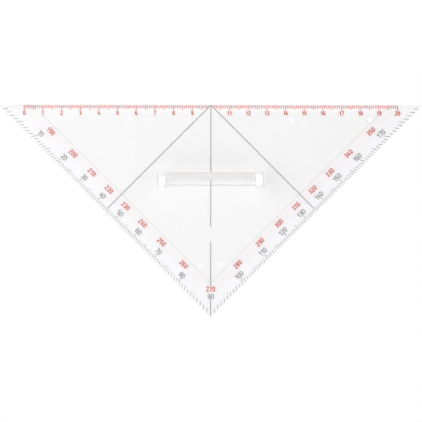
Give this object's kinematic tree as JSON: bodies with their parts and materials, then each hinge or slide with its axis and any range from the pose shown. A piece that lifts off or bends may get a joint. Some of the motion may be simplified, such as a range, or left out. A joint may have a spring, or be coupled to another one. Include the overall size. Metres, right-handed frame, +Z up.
{
  "type": "navigation triangle",
  "caption": "Clear right-angled navigation triangle with a printed centimetre ruler on its long edge, degree scales on its short edges and a clear pull-off grip bar.",
  "frame": {"origin": "centre of the footprint's box, on the surface that the plate's nubs rest on", "axes": "+X along the long edge towards the ruler's higher numbers, +Y from the right-angled tip to the long edge, +Z up out of the plate"},
  "size_m": [0.2256, 0.1132, 0.0115],
  "materials": {
    "clear_acrylic": "clear polished",
    "black_ink": "printed film",
    "red_ink": "printed film"
  },
  "bodies": {
    "plate": {"plate": "clear_acrylic", "ruler_ticks": "red_ink", "ruler_numerals": "red_ink", "left_degree_ticks": "black_ink", "right_degree_ticks": "black_ink", "left_course_numerals": "black_ink", "right_course_numerals": "black_ink", "left_reciprocal_numerals": "red_ink", "right_reciprocal_numerals": "red_ink", "tip_course_numeral": "black_ink", "tip_reciprocal_numeral": "red_ink", "centre_line": "black_ink", "left_diagonal": "black_ink", "right_diagonal": "black_ink"},
    "handle": {"handle": "clear_acrylic"}
  },
  "joints": [
    {"name": "handle_lift", "type": "slide", "parent": "plate", "child": "handle", "axis": [0, 0, 1], "range_m": [0, 0.02]}
  ]
}
